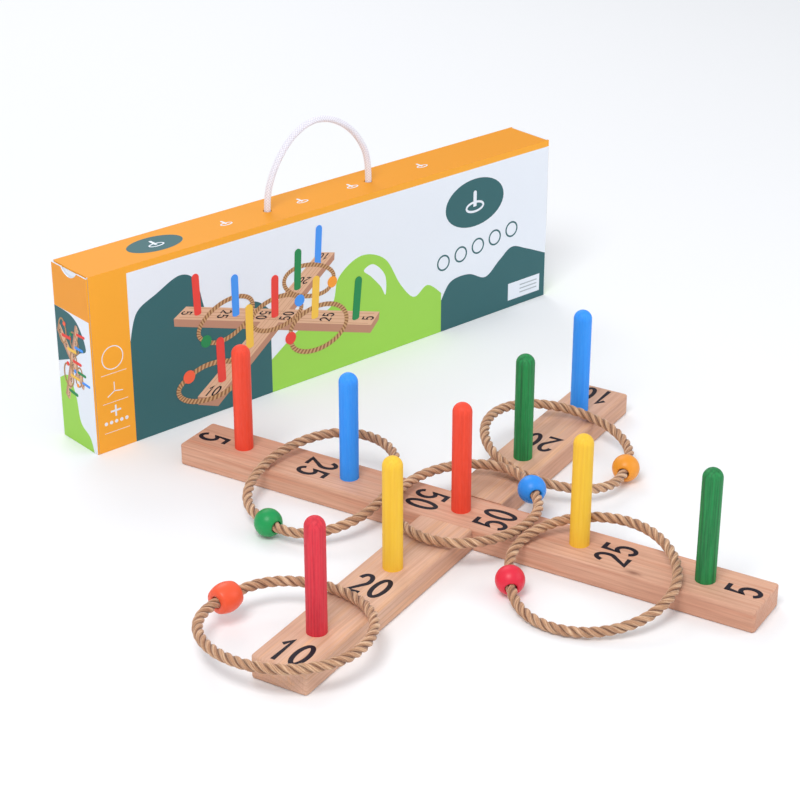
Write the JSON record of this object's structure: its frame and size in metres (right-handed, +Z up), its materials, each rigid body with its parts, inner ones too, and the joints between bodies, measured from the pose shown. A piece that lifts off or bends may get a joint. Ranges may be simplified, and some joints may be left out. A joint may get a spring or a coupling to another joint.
{
  "type": "ring toss set",
  "caption": "Lawn ring toss: slotted wooden cross with round-topped scoring pegs, bead-closed rope rings, and a flat carry carton with a cord handle.",
  "frame": {"origin": "on the floor under the centre of the cross", "axes": "+Z up, X along the carton's long side, -Y the front; the cross is turned 18 degrees about Z"},
  "size_m": [0.6354, 0.5767, 0.2277],
  "materials": {
    "bare_wood": "sanded, unvarnished",
    "peg_red": "matt stain",
    "peg_yellow": "matt stain",
    "peg_green": "matt stain, grain showing",
    "peg_blue": "matt stain",
    "jute_rope": "three-strand twist",
    "bead_coral": "satin paint",
    "bead_green": "satin paint",
    "bead_blue": "satin paint",
    "bead_amber": "satin paint",
    "bead_red": "satin paint",
    "printed_board": "printed, semi-matt",
    "orange_board": "printed, semi-matt",
    "print_ink": "printed, semi-matt",
    "number_paint": "matt paint",
    "white_cord": "braided"
  },
  "bodies": {
    "lower_cross": {"lower_beam": "bare_wood", "peg_10_front_red": "peg_red", "peg_20_front_yellow": "peg_yellow", "peg_20_back_green": "peg_green", "peg_10_back_blue": "peg_blue"},
    "upper_cross": {"upper_beam": "bare_wood", "peg_5_left_red": "peg_red", "peg_25_left_blue": "peg_blue", "peg_50_centre_red": "peg_red", "peg_25_right_yellow": "peg_yellow", "peg_5_right_green": "peg_green"},
    "ring_coral": {"ring_coral_rope": "jute_rope", "ring_coral_bead": "bead_coral"},
    "ring_green": {"ring_green_rope": "jute_rope", "ring_green_bead": "bead_green"},
    "ring_blue": {"ring_blue_rope": "jute_rope", "ring_blue_bead": "bead_blue"},
    "ring_amber": {"ring_amber_rope": "jute_rope", "ring_amber_bead": "bead_amber"},
    "ring_red": {"ring_red_rope": "jute_rope", "ring_red_bead": "bead_red"},
    "carton": {"carton_front": "printed_board", "carton_back": "printed_board", "carton_bottom": "orange_board", "carton_top": "orange_board", "carton_right_end": "printed_board"},
    "outer_flap": {"end_outer_flap": "printed_board"},
    "inner_flap": {"end_inner_flap": "printed_board"},
    "dust_flap_front": {"end_dust_flap_front": "printed_board"},
    "dust_flap_back": {"end_dust_flap_back": "printed_board"},
    "handle": {"handle_cord": "white_cord", "handle_knot_left": "white_cord", "handle_knot_right": "white_cord"}
  },
  "joints": [
    {"name": "upper_beam_lift", "type": "slide", "parent": "lower_cross", "child": "upper_cross", "axis": [0, 0, 1], "range_m": [0, 0.12]},
    {"name": "ring_coral_lift", "type": "slide", "parent": "lower_cross", "child": "ring_coral", "axis": [0, 0, 1], "range_m": [0, 0.13]},
    {"name": "ring_green_lift", "type": "slide", "parent": "upper_cross", "child": "ring_green", "axis": [0, 0, 1], "range_m": [0, 0.13]},
    {"name": "ring_blue_lift", "type": "slide", "parent": "upper_cross", "child": "ring_blue", "axis": [0, 0, 1], "range_m": [0, 0.13]},
    {"name": "ring_amber_lift", "type": "slide", "parent": "lower_cross", "child": "ring_amber", "axis": [0, 0, 1], "range_m": [0, 0.13]},
    {"name": "ring_red_lift", "type": "slide", "parent": "upper_cross", "child": "ring_red", "axis": [0, 0, 1], "range_m": [0, 0.13]},
    {"name": "carton_carry", "type": "slide", "parent": "lower_cross", "child": "carton", "axis": [0, 1, 0], "range_m": [0, 0.3]},
    {"name": "outer_flap_hinge", "type": "hinge", "parent": "carton", "child": "outer_flap", "pos_m": [-0.14, 0.31, 0], "axis": [0, -1, 0], "range_deg": [0, 85]},
    {"name": "inner_flap_hinge", "type": "hinge", "parent": "carton", "child": "inner_flap", "pos_m": [-0.1382, 0.31, 0.1542], "axis": [0, 1, 0], "range_deg": [0, 85]},
    {"name": "dust_flap_front_hinge", "type": "hinge", "parent": "carton", "child": "dust_flap_front", "pos_m": [-0.1349, 0.2868, 0.078], "axis": [0, 0, -1], "range_deg": [0, 80]},
    {"name": "dust_flap_back_hinge", "type": "hinge", "parent": "carton", "child": "dust_flap_back", "pos_m": [-0.1349, 0.3332, 0.078], "axis": [0, 0, 1], "range_deg": [0, 80]},
    {"name": "handle_swing", "type": "hinge", "parent": "carton", "child": "handle", "pos_m": [0.115, 0.31, 0.15525], "axis": [1, 0, 0], "range_deg": [-18, 18]}
  ],
  "couplings": [
    {"joint": "inner_flap_hinge", "follows": "outer_flap_hinge", "ratio": 1}
  ]
}
